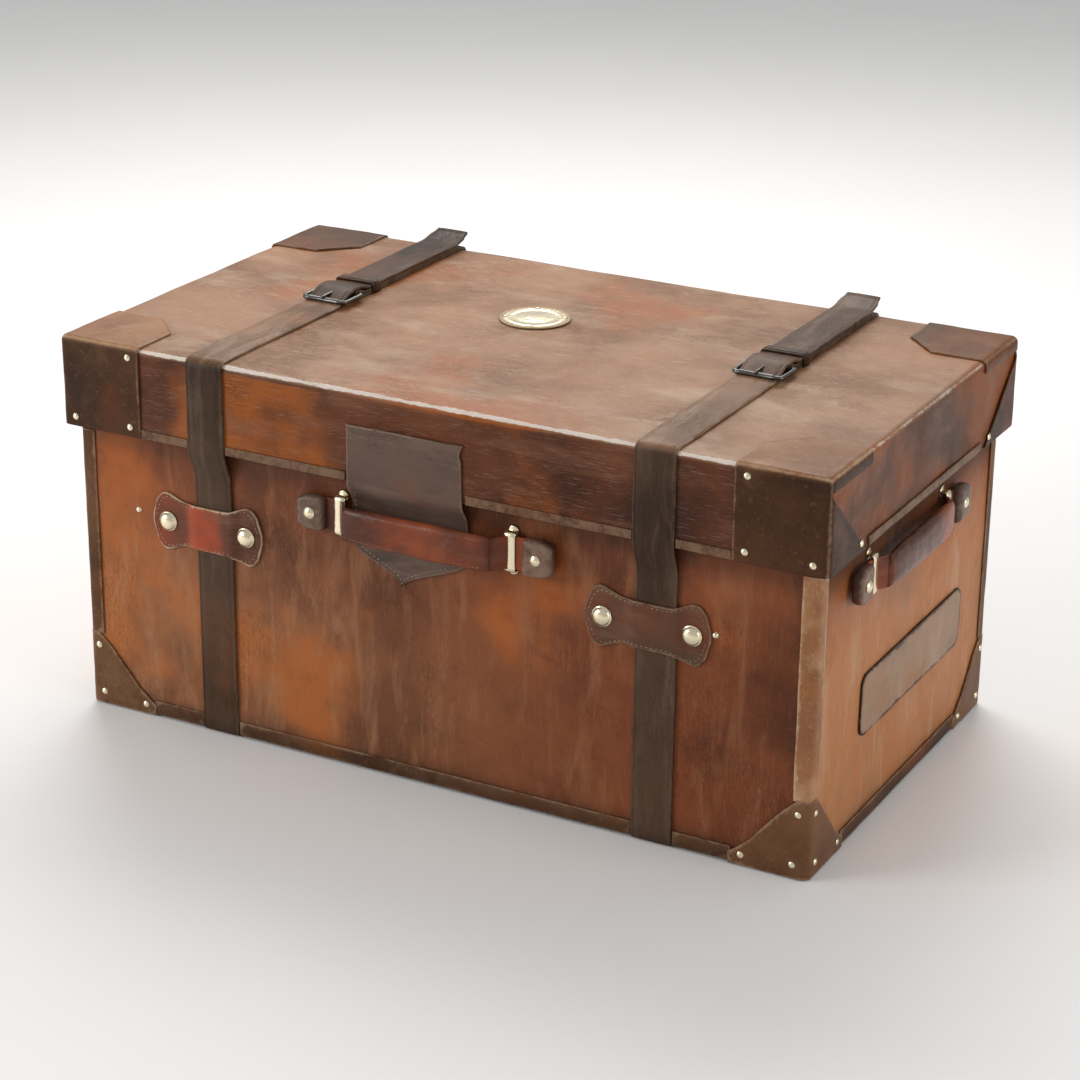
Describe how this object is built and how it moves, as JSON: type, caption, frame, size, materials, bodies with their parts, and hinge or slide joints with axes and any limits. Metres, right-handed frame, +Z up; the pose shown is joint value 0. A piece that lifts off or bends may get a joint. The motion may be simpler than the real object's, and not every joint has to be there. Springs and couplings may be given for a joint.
{
  "type": "steamer trunk",
  "caption": "Leather travel trunk with a deep overlapping hinged lid, buckled straps, brass-looped leather handles, a front flap and corner caps.",
  "frame": {"origin": "under the middle of the trunk, on the plane of the straps' and the floor's contact", "axes": "+X along the trunk to its right end as seen from the front, +Z up, the front faces -Y"},
  "size_m": [0.85, 0.501, 0.4162],
  "materials": {
    "leather_long": "worn, waxed",
    "leather_end": "worn, faded",
    "leather_top": "worn, faded, soft sheen",
    "leather_base": "scuffed",
    "cap_leather": "worn, grey-brown",
    "strap_leather": "dark, worn",
    "flap_leather": "worn, waxed",
    "patch_leather": "faded, burnished edge",
    "handle_leather": "worn, polished by hands",
    "board": "bare",
    "lining": "matt woven cotton",
    "brass": "aged",
    "dark_iron": "dull, dark"
  },
  "bodies": {
    "case": {"case_boards_long": "board", "case_boards_end": "board", "case_board_base": "board", "case_leather_long": "leather_long", "case_leather_end": "leather_end", "case_leather_base": "leather_base", "case_rim_strip": "cap_leather", "case_lining": "lining", "case_bindings": "cap_leather", "case_corner_caps": "cap_leather", "case_cap_rivets": "brass", "case_straps": "strap_leather", "strap_keepers": "strap_leather", "keeper_studs": "brass", "label_patch": "patch_leather", "hinge_leaves_case": "brass", "hinge_pins": "brass", "hinge_screws_case": "brass", "handle_loops_front": "brass", "handle_loops_right": "brass", "handle_loops_left": "brass"},
    "lid": {"lid_top_board": "board", "lid_top_leather": "leather_top", "lid_boards_long": "board", "lid_boards_end": "board", "lid_leather_long": "leather_long", "lid_leather_end": "leather_end", "lid_rails": "board", "lid_lining": "lining", "lid_edge_binding": "cap_leather", "lid_corner_caps": "cap_leather", "lid_cap_rivets": "brass", "lid_straps": "strap_leather", "back_straps": "strap_leather", "strap_loops": "strap_leather", "front_flap": "flap_leather", "round_plate": "brass", "hinge_leaves_lid": "brass", "hinge_screws_lid": "brass"},
    "frame_left": {"buckle_frame_left": "dark_iron"},
    "prong_left": {"buckle_prong_left": "dark_iron"},
    "frame_right": {"buckle_frame_right": "dark_iron"},
    "prong_right": {"buckle_prong_right": "dark_iron"},
    "grip_front_body": {"grip_front": "handle_leather"},
    "stop_front_a_body": {"stop_front_a": "handle_leather", "rivet_front_a": "brass"},
    "stop_front_b_body": {"stop_front_b": "handle_leather", "rivet_front_b": "brass"},
    "grip_right_body": {"grip_right": "handle_leather"},
    "stop_right_a_body": {"stop_right_a": "handle_leather", "rivet_right_a": "brass"},
    "stop_right_b_body": {"stop_right_b": "handle_leather", "rivet_right_b": "brass"},
    "grip_left_body": {"grip_left": "handle_leather"},
    "stop_left_a_body": {"stop_left_a": "handle_leather", "rivet_left_a": "brass"},
    "stop_left_b_body": {"stop_left_b": "handle_leather", "rivet_left_b": "brass"}
  },
  "joints": [
    {"name": "lid_hinge", "type": "hinge", "parent": "case", "child": "lid", "pos_m": [0, 0.24, 0.308], "axis": [-1, 0, 0], "range_deg": [0, 100]},
    {"name": "buckle_frame_left_hinge", "type": "hinge", "parent": "lid", "child": "frame_left", "pos_m": [-0.243, 0.014, 0.4057], "axis": [-1, 0, 0], "range_deg": [0, 25]},
    {"name": "buckle_prong_left_hinge", "type": "hinge", "parent": "frame_left", "child": "prong_left", "pos_m": [-0.243, 0.014, 0.4057], "axis": [-1, 0, 0], "range_deg": [0, 40]},
    {"name": "buckle_frame_right_hinge", "type": "hinge", "parent": "lid", "child": "frame_right", "pos_m": [0.243, 0.014, 0.4057], "axis": [-1, 0, 0], "range_deg": [0, 25]},
    {"name": "buckle_prong_right_hinge", "type": "hinge", "parent": "frame_right", "child": "prong_right", "pos_m": [0.243, 0.014, 0.4057], "axis": [-1, 0, 0], "range_deg": [0, 40]},
    {"name": "grip_front_lift", "type": "slide", "parent": "case", "child": "grip_front_body", "axis": [0, -1, 0], "range_m": [0, 0.018]},
    {"name": "stop_front_a_draw", "type": "slide", "parent": "grip_front_body", "child": "stop_front_a_body", "axis": [0.4061, 0.9138, 0], "range_m": [0, 0.0197]},
    {"name": "stop_front_b_draw", "type": "slide", "parent": "grip_front_body", "child": "stop_front_b_body", "axis": [-0.4061, 0.9138, 0], "range_m": [0, 0.0197]},
    {"name": "grip_right_lift", "type": "slide", "parent": "case", "child": "grip_right_body", "axis": [1, 0, 0], "range_m": [0, 0.018]},
    {"name": "stop_right_a_draw", "type": "slide", "parent": "grip_right_body", "child": "stop_right_a_body", "axis": [-0.9138, 0.4061, 0], "range_m": [0, 0.0197]},
    {"name": "stop_right_b_draw", "type": "slide", "parent": "grip_right_body", "child": "stop_right_b_body", "axis": [-0.9138, -0.4061, 0], "range_m": [0, 0.0197]},
    {"name": "grip_left_lift", "type": "slide", "parent": "case", "child": "grip_left_body", "axis": [-1, 0, 0], "range_m": [0, 0.018]},
    {"name": "stop_left_a_draw", "type": "slide", "parent": "grip_left_body", "child": "stop_left_a_body", "axis": [0.9138, -0.4061, 0], "range_m": [0, 0.0197]},
    {"name": "stop_left_b_draw", "type": "slide", "parent": "grip_left_body", "child": "stop_left_b_body", "axis": [0.9138, 0.4061, 0], "range_m": [0, 0.0197]}
  ],
  "couplings": [
    {"joint": "stop_front_a_draw", "follows": "grip_front_lift", "ratio": 1.0943},
    {"joint": "stop_front_b_draw", "follows": "grip_front_lift", "ratio": 1.0943},
    {"joint": "stop_right_a_draw", "follows": "grip_right_lift", "ratio": 1.0943},
    {"joint": "stop_right_b_draw", "follows": "grip_right_lift", "ratio": 1.0943},
    {"joint": "stop_left_a_draw", "follows": "grip_left_lift", "ratio": 1.0943},
    {"joint": "stop_left_b_draw", "follows": "grip_left_lift", "ratio": 1.0943}
  ]
}
